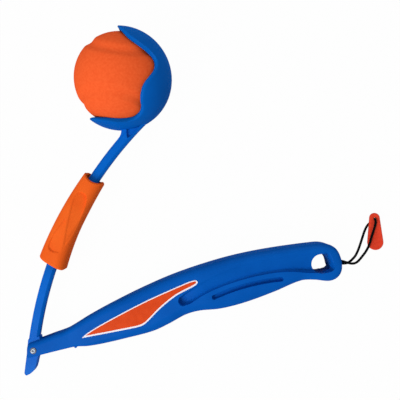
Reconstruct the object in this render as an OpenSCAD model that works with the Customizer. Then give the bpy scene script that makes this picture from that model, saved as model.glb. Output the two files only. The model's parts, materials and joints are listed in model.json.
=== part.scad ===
// Folding dog ball launcher, lying on its side with a ball in the cup.
// Millimetres, +Z up. The handle runs along +X from the hinge to the butt, the cup is on the +Y side,
// and the floor is Z = 0. The launcher leans on the ball, so its mid-plane is tipped about X.

/* [Ball and cup] */
// Diameter of the ball
ball_d = 63.5; // [58:0.5:70]
// Room between the ball and the cup
ball_clearance = 0.35; // [0.3:0.05:0.8]
// Wall of the cup at its back
cup_wall = 3.2; // [2.6:0.1:4]
// Angle from the back of the cup to the tips of its two lips
lip_angle = 110; // [100:1:112]

/* [Arm] */
// Radius of the bow of the arm
arm_bow_r = 265; // [220:1:340]
// Length of the arm along its bow, hinge to cup
arm_len = 186.5; // [160:0.5:215]
// Width of the arm, seen from the side
arm_w = 7; // [5:0.1:8]
// Thickness of the arm, which also fills the hinge slot
arm_t = 6.4; // [5:0.1:7.5]
// Chamfer along the arm's four edges
arm_chamfer = 1.6; // [0.5:0.1:2]
// How far the arm's middle line passes outside the hinge pin
arm_offset = 2; // [1:0.1:3]
// Angle of the arm to the handle at the hinge, as it lies
rest_angle = 67.3; // [55:0.1:90]

/* [Lock sleeve] */
// Length of the sleeve along the arm
sleeve_len = 66.5; // [50:0.5:80]
// Distance of the sleeve's lower end from the hinge, along the arm
sleeve_start = 60; // [50:0.5:64]
// Thickness of the sleeve
sleeve_t = 20; // [18:0.1:24]
// Wall left outside the sleeve's bore, over its flat sides
sleeve_wall = 2.8; // [1.5:0.1:4]
// Depth of the thumb leaves in the sleeve's sides
leaf_depth = 0.7; // [0.3:0.1:1]
// Room between the arm and the guide collar in the sleeve
sleeve_clearance = 0.3; // [0.2:0.05:0.6]

/* [Handle] */
// Length from the hinge pin to the butt end
handle_len = 218.3; // [190:0.1:260]
// Thickness of the nose that carries the hinge
nose_t = 14; // [12:0.1:16]
// Thickness of the grip
grip_t = 23.6; // [20:0.1:28]
// Room at each side of the arm in the hinge slot
slot_clearance = 0.2; // [0.1:0.05:0.4]
// Depth of the swept recess in each side of the grip
recess_depth = 4.2; // [1:0.1:5]
// Radius of the finger groove in each side of the grip
groove_r = 1.6; // [1:0.1:2.2]
// Radius of the hang hole
hang_hole_r = 6.5; // [4:0.1:7]
// Thickness of the printed labels
label_t = 0.3; // [0.1:0.05:0.5]

/* [Hinge rivet] */
// Radius of the rivet's shank
rivet_r = 1.5; // [1.2:0.05:2.2]
// Radius of the rivet's head and of the washer under its rolled end
rivet_head_r = 2.2; // [2:0.1:3.5]
// Height of the rivet's head
rivet_head_h = 0.9; // [0.5:0.1:1.5]
// Running room of the arm on the rivet
rivet_clearance = 0.05; // [0.02:0.01:0.1]

/* [Lanyard] */
// Diameter of the cord
cord_d = 1.7; // [1.2:0.1:1.8]
// Thickness of the pull tab
tab_t = 2.6; // [2:0.1:3]
// Length of the pull tab
tab_len = 26.5; // [24:0.5:34]
// Widest part of the pull tab
tab_w = 11.2; // [8:0.1:16]

/* [Hidden] */
$fn = 64;
eps = 0.01;

// Curves through chosen points
function segment(p, x, i = 0) = i >= len(p) - 2 || x < p[i + 1][0] ? i : segment(p, x, i + 1);
function slope(p, i) =
    let (a = max(i - 1, 0), b = min(i + 1, len(p) - 1)) (p[b][1] - p[a][1]) / (p[b][0] - p[a][0]);
function curve(p, x) =
    let (i = segment(p, x), h = p[i + 1][0] - p[i][0], t = (x - p[i][0]) / h)
    p[i][1] * (2 * t ^ 3 - 3 * t ^ 2 + 1) + slope(p, i) * h * (t ^ 3 - 2 * t ^ 2 + t)
    + p[i + 1][1] * (3 * t ^ 2 - 2 * t ^ 3) + slope(p, i + 1) * h * (t ^ 3 - t ^ 2);
function catmull(a, b, c, d, t) =
    0.5 * (2 * b + (c - a) * t + (2 * a - 5 * b + 4 * c - d) * t ^ 2 + (3 * b - a - 3 * c + d) * t ^ 3);
function smooth(p, steps) = [
    for (i = [0:len(p) - 2], s = [0:steps - 1])
        catmull(p[max(i - 1, 0)], p[i], p[i + 1], p[min(i + 2, len(p) - 1)], s / steps)];
function unit(v) = v / norm(v);

// A closed skin over equal rings of points, capped at both ends from the middle of each end
function middle(ring) = [for (k = [0:2]) [for (p = ring) p[k]] * [for (p = ring) 1] / len(ring)];
module loft(rings) {
    n = len(rings[0]);
    m = len(rings);
    sides = [
        for (j = [0:m - 2], i = [0:n - 1])
            let (k = (i + 1) % n)
            each [[j * n + i, j * n + k, (j + 1) * n + k], [j * n + i, (j + 1) * n + k, (j + 1) * n + i]]];
    first = [for (i = [0:n - 1]) [n * m, (i + 1) % n, i]];
    last = [for (i = [0:n - 1]) [n * m + 1, (m - 1) * n + i, (m - 1) * n + (i + 1) % n]];
    points = concat([for (r = rings) each r], [middle(rings[0]), middle(rings[m - 1])]);
    polyhedron(points, concat(first, sides, last));
}

// A rectangle with round corners as [across, up] points: its low and high side, half its thickness, and
// the radius at each of the two sides
corner_steps = 5;
function round_box(lo, hi, half, r_lo, r_hi) =
    let (most = min(half, (hi - lo) / 2) - eps, q_hi = min(r_hi, most), q_lo = min(r_lo, most))
    [for (c = [[hi - q_hi, 1, 0, q_hi], [lo + q_lo, 1, 90, q_lo], [lo + q_lo, -1, 180, q_lo],
        [hi - q_hi, -1, 270, q_hi]], s = [0:corner_steps])
        let (a = c[2] + 90 * s / corner_steps)
        [c[0] + c[3] * cos(a), c[1] * (half - c[3]) + c[3] * sin(a)]];

// Ball and cup
ball_r = ball_d / 2;
cup_in_r = ball_r + ball_clearance;
cup_out_r = cup_in_r + cup_wall;
// The arm's inner edge runs a little way into the cup's wall, where the arm's length ends
cup_sink = 1;
cup_arc = arm_len / arm_bow_r * 180 / PI;
cup_arc_r = arm_bow_r - arm_w / 2 + cup_out_r - cup_sink;
// The mouth's axis, from the arm's direction where it meets the cup
mouth_turn = 119;

// Places on the arm: distance along the bow in degrees, distance outside its middle line
arm_turn = rest_angle - 90;
function on_bow(deg, out) =
    [arm_bow_r - arm_offset - (arm_bow_r + out) * cos(deg), (arm_bow_r + out) * sin(deg)];
function arc_deg(len) = len / arm_bow_r * 180 / PI;
function turned(p, a) = [p[0] * cos(a) - p[1] * sin(a), p[0] * sin(a) + p[1] * cos(a)];
bow_centre = [arm_bow_r - arm_offset, 0];
cup_c = bow_centre + cup_arc_r * [-cos(cup_arc), sin(cup_arc)];
cup_at = turned(cup_c, arm_turn);
mouth_a = 90 - cup_arc + mouth_turn;
back_a = mouth_a + 180;

// The flat sides, where the labels lie, slope evenly from the nose to this place
flat_to = 122;
// Past the labels, places along the grip are drawn for this length and stretch with the handle
drawn_len = 218.3;
stretch = (handle_len - flat_to) / (drawn_len - flat_to);
function along(x) = x < flat_to ? x : flat_to + (x - flat_to) * stretch;
function drawn(p) = [for (q = p) [along(q[0]), q[1]]];

// Outline of the handle, along its length from the hinge: [distance, height]
butt_round = 13;
butt_mid = 2.4;
nose_end = -5;
nose_shoulder = 25;
top_edge = drawn([[nose_end, 4.7], [6, 5.6], [14, 6.2], [24, 6.8], [30, 8.2], [40, 11], [56, 14.6],
    [80, 18.9], [104, 21.9], [130, 23], [150, 22.7], [172, 20.8], [196, 17.4], [drawn_len, 13.4]]);
low_edge = drawn([[nose_end, -4], [20, -5], [28, -5.6], [36, -7.7], [46, -9.1], [64, -10.3], [82, -10.7],
    [94, -8.8], [106, -6.1], [116, -6.1], [130, -8.7], [147, -9.4], [168, -7.9], [188, -5.6], [197, -7.6],
    [206, -11], [drawn_len, -12]]);
butt_thin = 0.6;
half_thick = drawn([[nose_end, nose_t / 2], [nose_shoulder, nose_t / 2], [flat_to, grip_t / 2],
    [160, grip_t / 2], [drawn_len, grip_t / 2 - butt_thin]]);
low_round = drawn([[nose_end, 1.2], [nose_shoulder, 1.2], [44, 4], [62, 6], [90, 7.5], [150, 8], [185, 6.5],
    [drawn_len, 4.5]]);
top_round = drawn([[nose_end, 3.2], [nose_shoulder, 3.2], [44, 4], [62, 4.6], [90, 5], [150, 5], [185, 4.6],
    [drawn_len, 4]]);
function lookup_line(p, x) = let (i = segment(p, x), a = p[i], b = p[i + 1])
    a[1] + (b[1] - a[1]) * (x - a[0]) / (b[0] - a[0]);
// How square the butt's rounding is, seen from the side and from above
butt_power = 2.4;
side_power = 6;
function butt_share(x, power) =
    let (t = max(0, (x - handle_len + butt_round) / butt_round)) (1 - t ^ power) ^ (1 / power);
function handle_top(x) = butt_mid + (curve(top_edge, x) - butt_mid) * butt_share(x, butt_power);
function handle_low(x) = butt_mid + (curve(low_edge, x) - butt_mid) * butt_share(x, butt_power);
function handle_half(x) = lookup_line(half_thick, x) * butt_share(x, side_power);
function handle_ring(x) =
    [for (p = round_box(handle_low(x), handle_top(x), handle_half(x), lookup_line(low_round, x),
        lookup_line(top_round, x))) [x, p[0], p[1]]];
station_step = 5;
butt_steps = 7;
// The rounding stops just short of a point, on a small flat end
butt_reach = butt_round * 0.995;
butt_from = handle_len - butt_round;
butt_end = butt_from + butt_reach;
stations = concat(
    [nose_end, 4, 9, 14, 19],
    [for (x = [nose_shoulder:station_step:flat_to - 1]) x], [flat_to],
    [for (x = [flat_to + station_step:station_step:butt_from - 2]) x],
    [for (s = [0:butt_steps]) butt_from + butt_reach * sin(90 * s / butt_steps)]);

// How the launcher lies: it leans on the ball and on the low side of the grip
function low_point(x, a) =
    let (r = lookup_line(low_round, x)) (handle_half(x) - r) * cos(a) + r - (handle_low(x) + r) * sin(a);
grip_low_drawn = 147;
grip_low_x = along(grip_low_drawn);
first_lean = asin((ball_r - grip_t / 2) / cup_at[1]);
lean = asin((ball_r - low_point(grip_low_x, first_lean)) / cup_at[1]);
lift = ball_r - cup_at[1] * sin(lean);

// Tail of the arm past the hinge, in the arm's own direction: [across, along]
tail_side = [-5.5, -17.1];
tail_tip = [-3.8, -18.7];
tail_root = 0.4;
tail = [[-5.5, 6], [-5.3, -4.6], tail_side, [-4.9, -18.2], tail_tip, [-1.4, -17.2], [0.3, -15.4],
    [1.3, -13.4], [1.8, -10.6], [2.2, -6.5], [3.1, -3], [4.3, 1], [arm_w / 2 - arm_offset + tail_root, 9]];

// Rim of the cup: [turn about the mouth's axis from the upper lip, angle from the back of the cup]
rim = [[0, lip_angle], [12, lip_angle - 0.8], [22, lip_angle - 3.2], [31, 102.5], [39, 96], [44.6, 90.5],
    [47.8, 84.5], [49.6, 78.5], [50.4, 72], [50.7, 66], [50.9, 61.5], [51.3, 57.5], [52.4, 53.6],
    [54.9, 49.6], [59, 47.2], [64, 45.9], [69.5, 45.4], [76, 46.2], [83, 48.1], [89, 49.9], [94.5, 51.5],
    [101, 52.5], [109, 52.5], [117, 51.6], [124, 50], [131, 48.4], [137.5, 48.4], [143.5, 50.1],
    [148.4, 53.3], [151.5, 57.2], [153.1, 62], [153.8, 68], [154.2, 75], [154.8, 82], [156.3, 89],
    [159.2, 95.8], [164.2, 103], [171, lip_angle - 2], [180, lip_angle]];
rim_half = smooth(rim, 2);
rim_other = [for (i = [len(rim_half) - 1:-1:1]) [-rim_half[i][0], rim_half[i][1]]];
rim_all = concat(rim_half, [rim[len(rim) - 1]], rim_other);
// Directions in the cup's own frame: X to the back, Y towards the upper lip
function rim_dir(turn, angle) = [cos(angle), sin(angle) * cos(turn), sin(angle) * sin(turn)];

// The part's origin is under the middle of the launcher as it lies
left_end = turned(tail_side, arm_turn)[0];
low_end = turned(tail_tip, arm_turn)[1];
function rim_reach(d) =
    cup_out_r * (turned(d, back_a + arm_turn)[1] * cos(lean) - d[2] * sin(lean));
far_side = cup_at[1] * cos(lean) + max([for (p = rim_all) rim_reach(rim_dir(p[0], p[1]))]);
near_side = low_end * cos(lean) - arm_t / 2 * sin(lean);
origin_x = (butt_end + left_end) / 2;
origin_y = (far_side + near_side) / 2;

module lie() translate([-origin_x, -origin_y, lift]) rotate([lean, 0, 0]) children();
module at_arm() lie() rotate([0, 0, arm_turn]) children();
module at_cup() at_arm() translate([cup_c[0], cup_c[1], 0]) children();
// A piece swept along the bow between two angles, from a flat [outside, thickness] shape
module along_bow(from, to)
    translate([bow_centre[0], 0, 0]) rotate([0, 0, 180 - to]) rotate_extrude(angle = to - from, $fn = 180)
        translate([arm_bow_r, 0]) children();

// Hinge
pin_fit = 0.02;
pin_hole_r = rivet_r + pin_fit;
slot_t = arm_t + 2 * slot_clearance;
// The slot opens to the top for the arm, and below for its tail, with the stop between the two
slot_outline = [[-30, -30], [20.2, -30], [20.2, -7], [19.6, -4], [17.4, -0.7], [15, 0.6], [11, 2.4],
    [10.6, 2.7], [10.6, 3.6], [13.2, 4.8], [15, 5.8], [15, 30], [-30, 30]];
// The nose ends on a slant, in line with the arm's outer edge as it lies
nose_cut = [[-9, -9], [-7.2, -9], [-1.8, 9], [-9, 9]];
detent_x = 28.2;
detent_r = 1;
detent_len = 12.8;
detent_proud = 0.2;

// Hang hole at the butt
hang_back = 14.3;
hang_at = [handle_len - hang_back, 2.2];
// Towards the butt the hole has two squarer corners, which start this many degrees from its sides
hang_corner_from = 25;
hang_corner_cut = 0.8;
// Cord passage through the butt's wall, and the pocket in the hang hole's side that holds the knot
cord_y = -2.2;
cord_gap = 0.1;
strand_at = cord_d / 2 + cord_gap;
passage_r = cord_d + 2 * cord_gap;
knot_r = 2.7;
knot_room = 0.2;
knot_pocket_r = knot_r + knot_room;
knot_t = 2.4;
knot_back = 4.6;
knot_face = handle_len - knot_back;

// Recess in each side of the grip: [distance, height of its upper edge, height of its lower edge, share of
// the depth along its lower edge, and of that along its upper edge]
recess = [[106, 7.6, 1.6, 1, 0.9], [111, 9.6, 1.4, 0.95, 0.75], [120, 12.4, 4.2, 0.7, 0.45],
    [131, 15, 6.2, 0.6, 0.3], [145, 16.8, 7.1, 0.58, 0.28], [158, 16.9, 6.9, 0.58, 0.28],
    [172, 15.8, 5.4, 0.62, 0.28], [184, 14.2, 2.6, 0.72, 0.28], [194, 12.6, -1.2, 0.95, 0.28],
    [206, 9.2, -4.6, 1.35, 0.28]];
recess_end_r = 3;
recess_start = [107.6, 4.4];
recess_steps = 22;
recess_slope = 1.6;
recess_foot = 1.2;
recess_over = 2;
function recess_edge(k) = drawn([for (p = recess) [p[0], p[k]]]);
function recess_ring(x) =
    let (hi = curve(recess_edge(1), x), lo = curve(recess_edge(2), x), face = handle_half(x),
        deep = recess_depth * curve(recess_edge(3), x), out = face + recess_over)
    [[x, lo - recess_foot / 2, out], [x, hi + recess_foot, out], [x, hi, face - eps],
        [x, hi - recess_slope, face - deep * curve(recess_edge(4), x)], [x, lo + recess_foot, face - deep],
        [x, lo, face - deep + recess_foot]];

// Finger groove: an arc through both sides of the grip
groove_bow_r = 135;
groove_mid = [along(151.5), 2.7];
groove_half_len = 23.3;
groove_sink = 0.9;
groove_tilt = -1.3;

module recess_cut() {
    from = recess[0][0];
    to = along(recess[len(recess) - 1][0]);
    loft([for (s = [0:recess_steps]) recess_ring(from + (to - from) * s / recess_steps)]);
    translate([recess_start[0], recess_start[1], handle_half(from) - recess_depth])
        cylinder(r = recess_end_r, h = recess_depth + recess_over);
}

module groove_cut() {
    deg = groove_half_len / groove_bow_r * 180 / PI;
    face = handle_half(groove_mid[0]) - groove_r * groove_sink;
    translate([groove_mid[0], groove_mid[1], face]) rotate([0, 0, groove_tilt])
        translate([0, -groove_bow_r, 0]) {
            rotate([0, 0, 90 - deg]) rotate_extrude(angle = 2 * deg, $fn = 180)
                translate([groove_bow_r, 0]) circle(groove_r, $fn = 32);
            for (s = [-1, 1])
                rotate([0, 0, s * deg]) translate([0, groove_bow_r, 0]) sphere(groove_r, $fn = 32);
        }
}

module both_sides() {
    children();
    mirror([0, 0, 1]) children();
}

module hang_hole(h) {
    side = hang_hole_r * cos(hang_corner_from);
    cylinder(r = hang_hole_r, h = h);
    linear_extrude(h) polygon([[0, -side], [side - hang_corner_cut, -side], [side, hang_corner_cut - side],
        [side, side - hang_corner_cut], [side - hang_corner_cut, side], [0, side]]);
}

module handle() color("#0a58b0") lie() difference() {
    union() {
        loft([for (x = stations) handle_ring(x)]);
        translate([detent_x, handle_low(detent_x) + detent_proud, -detent_len / 2])
            cylinder(r = detent_r, h = detent_len, $fn = 24);
    }
    translate([0, 0, -slot_t / 2]) linear_extrude(slot_t) polygon(slot_outline);
    translate([0, 0, -nose_t]) linear_extrude(2 * nose_t) polygon(nose_cut);
    translate([0, 0, -nose_t]) cylinder(r = pin_hole_r, h = 2 * nose_t);
    both_sides() {
        recess_cut();
        groove_cut();
    }
    translate([hang_at[0], hang_at[1], -grip_t]) hang_hole(2 * grip_t);
    translate([hang_at[0], cord_y, 0]) rotate([0, 90, 0]) {
        cylinder(r = knot_pocket_r, h = knot_face - hang_at[0], $fn = 32);
        cylinder(r = passage_r, h = handle_len, $fn = 32);
    }
}

cone_rings = 5;

// All that lies behind the rim, seen from the ball's centre
module behind_rim(r) {
    n = len(rim_all);
    shell = [for (j = [1:cone_rings], p = rim_all) r * rim_dir(p[0], p[1] * j / cone_rings)];
    points = concat([[0, 0, 0], [r, 0, 0]], shell);
    far = 2 + (cone_rings - 1) * n;
    inner = [for (i = [0:n - 1]) [1, 2 + (i + 1) % n, 2 + i]];
    outer = [
        for (j = [0:cone_rings - 2], i = [0:n - 1])
            let (a = 2 + j * n, b = 2 + (j + 1) * n, k = (i + 1) % n)
            each [[a + i, a + k, b + k], [a + i, b + k, b + i]]];
    edge = [for (i = [0:n - 1]) [0, far + i, far + (i + 1) % n]];
    polyhedron(points, concat(inner, outer, edge));
}

module ball_cup() color("#0a58b0") at_cup() rotate([0, 0, back_a]) intersection() {
    difference() {
        sphere(cup_out_r, $fn = 96);
        sphere(cup_in_r, $fn = 96);
        rotate([0, -90, 0]) cylinder(r = cup_in_r + ball_clearance / 2, h = 2 * cup_out_r, $fn = 96);
    }
    behind_rim(2 * cup_out_r);
}

// Neck: a web with a pocket in each side, where the arm meets the cup
neck_web = 2;
neck_flush = 0.3;
// Left edge of the web and corners of the pocket: [outside the arm's middle line, distance back from the cup]
neck_len = 34;
neck_edge = [[3, neck_len], [3.4, 27.6], [4, 25.6], [5, 24], [6.6, 23], [9.2, 22.4]];
neck_pocket = [[3.3, 20.6], [0.2, 13], [-2, 12], [-2.1, 22.4], [-1.5, 24.6], [0.1, 23.9]];
function from_cup(p) = on_bow(cup_arc - arc_deg(p[1]), p[0]);
// The bowed bar starts past the hinge pin and ends short of the cup's centre
bar_from = 6;
bar_short = 4.6;
module arm_section() polygon([
    for (s = [[1, 1], [-1, 1], [-1, -1], [1, -1]], e = [0, 1])
        let (first = (s[0] * s[1] > 0) == (e == 0))
        [s[0] * (arm_w / 2 - (first ? 0 : arm_chamfer)), s[1] * (arm_t / 2 - (first ? arm_chamfer : 0))]]);

module throwing_arm() color("#0b62c0") at_arm() difference() {
    union() {
        along_bow(arc_deg(bar_from), cup_arc - arc_deg(bar_short)) arm_section();
        translate([0, 0, -arm_t / 2]) linear_extrude(arm_t) polygon(tail);
        translate([0, 0, neck_flush - arm_t / 2]) linear_extrude(arm_t - 2 * neck_flush)
            polygon(concat([for (p = neck_edge) from_cup(p)],
                [cup_c, from_cup([0, 0]), from_cup([0, neck_len])]));
    }
    translate([0, 0, -arm_t]) cylinder(r = rivet_r + rivet_clearance, h = 2 * arm_t);
    translate([cup_c[0], cup_c[1], 0]) sphere(cup_out_r, $fn = 96);
    both_sides() translate([0, 0, neck_web / 2]) linear_extrude(arm_t)
        polygon([for (p = neck_pocket) from_cup(p)]);
}

// Lock sleeve: [share of its length from the lower end, reach outside, reach inside, share of thickness]
sleeve_shape = [[0, 8.2, 8.4, 0.95], [0.03, 9, 9.2, 1], [0.15, 8.9, 8.8, 1], [0.4, 8.5, 8.1, 0.97],
    [0.7, 7.9, 7.8, 0.94], [0.97, 7.3, 7.2, 0.91], [1, 6.6, 6.5, 0.87]];
sleeve_from = arc_deg(sleeve_start);
sleeve_to = arc_deg(sleeve_start + sleeve_len);
sleeve_round = 6;
sleeve_slant = 0.045;
sleeve_steps = [0, 0.03, 0.09, 0.17, 0.27, 0.38, 0.5, 0.62, 0.74, 0.85, 0.97, 1];
function sleeve_edge(k) = [for (p = sleeve_shape) [p[0], p[k]]];
function sleeve_half(k) = sleeve_t / 2 * curve(sleeve_edge(3), k);
function sleeve_ring(k) =
    let (out = curve(sleeve_edge(1), k), in = curve(sleeve_edge(2), k))
    [for (p = round_box(-in, out, sleeve_half(k), sleeve_round, sleeve_round))
        let (deg = sleeve_from + (sleeve_to - sleeve_from) * k + sleeve_slant * p[0] * (1 - k),
            q = on_bow(deg, p[0]))
        [q[0], q[1], p[1]]];
// The lower part of the bore passes over the nose, the upper part is narrower, the collar guides the arm
bore_out = 5.2;
bore_in = 6.9;
bore_in_top = 5.2;
bore_thin = 0.6;
bore_chamfer = 3;
collar_from = 0.66;
collar_to = 0.78;
collar_lap = 0.1;
past_end = 0.15;
module bore(from, to, in, out, half)
    let (c = bore_chamfer)
    along_bow(from, to) polygon([[c - in, -half], [out - c, -half], [out, c - half], [out, half - c],
        [out - c, half], [c - in, half], [-in, half - c], [-in, c - half]]);
function sleeve_deg(k) = sleeve_from + (sleeve_to - sleeve_from) * k;
// The upper end is scooped out across, in front and behind
scoop_r = 9;
scoop_deep = 1.7;

// Thumb leaves in both sides, on the two sides of a slanting ridge: [distance from the hinge, outside]
ridge = [[72, -4.8], [106, 4]];
upper_leaf = [[73.5, -4.9], [83, -6.9], [93, -7.2], [103, -6.4], [110, -5.1], [113, -3.4], [114.2, -0.6],
    [113.4, 2.4], [111, 3.9], [107, 3.8], [95, 0.7], [84, -2.15]];
lower_leaf = [[94, 1.4], [90, 3.1], [81, 5], [73.5, 5.4], [70.2, 4.2], [69, 1], [69.6, -2.4], [71.5, -4.2],
    [84, -1.2]];
leaf_fall = 0.26;
function off_ridge(p) =
    p[1] - ridge[0][1] - (ridge[1][1] - ridge[0][1]) * (p[0] - ridge[0][0]) / (ridge[1][0] - ridge[0][0]);
function leaf_floor(p) =
    sleeve_half((p[0] - sleeve_start) / sleeve_len) - leaf_depth / 2 - leaf_fall * abs(off_ridge(p));
function on_sleeve(p, z) = let (q = on_bow(arc_deg(p[0]), p[1])) [q[0], q[1], z];
module leaf_cut(outline)
    let (edge = smooth(concat(outline, [outline[0]]), 2))
    loft([[for (p = edge) on_sleeve(p, sleeve_t)], [for (p = edge) on_sleeve(p, leaf_floor(p))]]);

module lock_sleeve() color("#ee6426") at_arm() difference() {
    loft([for (k = sleeve_steps) sleeve_ring(k)]);
    half = sleeve_t / 2 - sleeve_wall;
    guide = arm_w / 2 + sleeve_clearance;
    bore(sleeve_deg(-past_end), sleeve_deg(collar_from), bore_in, bore_out, half);
    bore(sleeve_deg(collar_to), sleeve_deg(1 + past_end), bore_in_top, bore_out, half - bore_thin);
    along_bow(sleeve_deg(collar_from - collar_lap), sleeve_deg(collar_to + collar_lap))
        square([2 * guide, arm_t + 2 * sleeve_clearance], center = true);
    translate(on_bow(sleeve_to + arc_deg(scoop_r - scoop_deep), 0))
        cylinder(r = scoop_r, h = 2 * sleeve_t, center = true);
    both_sides() {
        leaf_cut(upper_leaf);
        leaf_cut(lower_leaf);
    }
}

// Rivet: a domed head in front with a dimple, and the shank rolled over a washer behind
washer_t = 0.6;
washer_r = rivet_head_r * 1.2;
roll_h = 0.7;
roll_r = rivet_r * 1.35;
dimple_r = 1;
dimple_deep = 0.45;
hollow_r = rivet_r * 0.6;
hollow_deep = 2;
head_profile = [[0, 0], [1, 0], [1, 0.35], [0.82, 0.8], [0.55, 1], [0, 1]];
roll_profile = [[0, 0], [0.82, 0], [1, 0.5], [0.92, 1], [0, 1]];
module turned_piece(profile, r, h) rotate_extrude() polygon([for (p = profile) [p[0] * r, p[1] * h]]);
module hinge_rivet() color("#b4b8c0") lie() difference() {
    union() {
        translate([0, 0, -nose_t / 2 - washer_t - eps])
            cylinder(r = rivet_r, h = nose_t + washer_t + 2 * eps);
        translate([0, 0, nose_t / 2]) turned_piece(head_profile, rivet_head_r, rivet_head_h);
        translate([0, 0, -nose_t / 2 - washer_t - roll_h]) turned_piece(roll_profile, roll_r, roll_h);
    }
    translate([0, 0, nose_t / 2 + rivet_head_h + dimple_r - dimple_deep]) sphere(dimple_r, $fn = 32);
    translate([0, 0, -nose_t / 2 - washer_t - roll_h - eps])
        cylinder(r = hollow_r, h = hollow_deep, $fn = 32);
}

module rivet_washer() color("#b4b8c0") lie() translate([0, 0, -nose_t / 2 - washer_t]) difference() {
    cylinder(r = washer_r, h = washer_t);
    translate([0, 0, -1]) cylinder(r = pin_hole_r, h = washer_t + 2);
}

// Printed label: a blade shape on each flat side
label_outline = smooth([[34.2, -0.8], [41, 2], [55, 5.6], [82, 11.2], [108, 15], [117, 15.9], [120, 15.3],
    [120.3, 13.6], [117, 12], [104, 9.2], [92, 4.2], [82, -1.4], [77.5, -3.5], [72, -3.9], [55, -2.6],
    [41, -1.4], [34.2, -0.8]], 4);
flat_slope = atan((grip_t - nose_t) / 2 / (flat_to - nose_shoulder));
module label() translate([nose_shoulder, 0, nose_t / 2]) rotate([0, -flat_slope, 0])
    translate([-nose_shoulder, 0, 0]) linear_extrude(label_t) polygon(label_outline);
module label_front() color("#d8481f") lie() label();
module label_back() color("#d8481f") lie() mirror([0, 0, 1]) label();

// Lanyard: where the cord leaves the butt, in the part's frame
cord_exit = [handle_len - origin_x, cord_y * cos(lean) - origin_y, lift + cord_y * sin(lean)];
// The two strands side by side in the passage, then crossing, measured from there
pair = [[0, -strand_at, 0], [2.7, -1.7, -1.3], [5.5, -2.1, -2.5], [8, -1.7, -4.2]];
pair_back = [[8, -3.3, -2.4], [5.5, -2.1, -0.5], [2.7, -0.3, 0.1], [0, strand_at, 0]];
// Then each on its own: [along, across] from there, and height over the floor
strand_under = [[10.8, -1, 4.6], [14.5, 0.8, 2], [18, 4.2, 1], [22, 9.5, 0.9], [26, 15, 0.9], [29, 18.2, 0.9],
    [31.8, 19.9, 1], [33.8, 21.1, 1.9]];
tab_hole = [34.7, 21.7, 4.4];
strand_over = [[34.3, 20.8, 6.8], [33.4, 18.6, 7.7], [31.6, 15.2, 6.6], [28.8, 10.7, 5.3], [25.2, 5.2, 4.5],
    [22.3, 1.5, 2.4], [18.5, -1.5, 1.5], [14.5, -3.6, 3], [11, -4, 6.2]];
function from_exit(p) = cord_exit + p;
function over_floor(p) = [cord_exit[0] + p[0], cord_exit[1] + p[1], p[2]];
cord_route = concat([from_exit([-knot_back, -strand_at, 0])], [for (p = pair) from_exit(p)],
    [for (p = concat(strand_under, [tab_hole], strand_over)) over_floor(p)],
    [for (p = pair_back) from_exit(p)], [from_exit([-knot_back, strand_at, 0])]);
cord_line = concat(smooth(cord_route, 2), [cord_route[len(cord_route) - 1]]);
cord_last = len(cord_line) - 1;
cord_way = [for (i = [0:cord_last])
    i == 0 ? [1, 0, 0] : i == cord_last ? [-1, 0, 0] : unit(cord_line[i + 1] - cord_line[i - 1])];
// A side direction carried along the cord without twist
function carried(way, side, i = 0) = i == len(way) ? [] :
    let (s = unit(side - (side * way[i]) * way[i])) concat([s], carried(way, s, i + 1));
cord_side = carried(cord_way, [0, 1, 0]);
cord_sides = 8;
module lanyard_cord() color("#141414") loft([for (i = [0:cord_last])
    [for (k = [0:cord_sides - 1])
        let (a = (k + 0.5) * 360 / cord_sides)
        cord_line[i] + cord_d / 2 * (cos(a) * cord_side[i] + sin(a) * cross(cord_way[i], cord_side[i]))]]);

knot_round = 0.8;
module lanyard_knot() color("#141414") lie() translate([knot_face - knot_t, cord_y, 0]) rotate([0, 90, 0])
    rotate_extrude($fn = 32) polygon([[0, 0], [knot_r - knot_round, 0], [knot_r, knot_round],
        [knot_r, knot_t - knot_round], [knot_r - knot_round, knot_t], [0, knot_t]]);

// Pull tab: a drop shape with its wide end on the floor, held up at its hole by the cord's loop
tab_small_r = 3.6;
tab_room = 0.8;
tab_hole_r = cord_d / 2 + tab_room;
tab_hole_back = 0.7;
tab_turn = -104;
tab_reach = tab_len - tab_small_r - tab_hole_back;
tab_tilt = asin((tab_hole[2] - tab_t / 2) / tab_reach);
tab_at = over_floor(tab_hole);
module pull_tab() color("#cf4326") translate(tab_at) rotate([0, 0, tab_turn]) rotate([0, tab_tilt, 0])
    translate([0, 0, -tab_t / 2]) difference() {
        linear_extrude(tab_t) hull() {
            translate([-tab_hole_back, 0]) circle(tab_small_r);
            translate([tab_reach - tab_w / 2, 0]) circle(tab_w / 2);
        }
        translate([0, 0, -tab_t]) cylinder(r = tab_hole_r, h = 3 * tab_t, $fn = 32);
    }

// Ball: two moulded grooves run round it: [tilt of the groove's pole, turn of that pole, angle from it]
seams = [[67.3, 88.6, 44.1], [74.6, 268.6, 47.9]];
seam_w = 8.6;
seam_deep = 1.2;
seam_r = (seam_w ^ 2 / 4 + seam_deep ^ 2) / (2 * seam_deep);
seam_reach = ball_r + seam_r - seam_deep;
module ball() color("#ee5f2e") at_cup() difference() {
    sphere(ball_r, $fn = 96);
    for (s = seams)
        rotate([0, s[0], s[1]]) rotate_extrude($fn = 96)
            translate(seam_reach * [sin(s[2]), cos(s[2])]) circle(seam_r, $fn = 48);
}

handle();
throwing_arm();
ball_cup();
lock_sleeve();
hinge_rivet();
rivet_washer();
label_front();
label_back();
lanyard_cord();
lanyard_knot();
pull_tab();
ball();
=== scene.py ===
# %% [markdown]
# # A folding dog ball launcher
# The launcher lies on its side and leans on its ball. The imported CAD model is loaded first, as a fixed
# frame: it says how big everything is and what turns about what. Every piece made here rides on one of
# its bodies, so the looks follow the mechanism when the arm folds or the sleeve slides.

# %% Load the frame
import json
import math

import bmesh
import bpy
import numpy as np
from mathutils import Matrix, Vector


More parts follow.
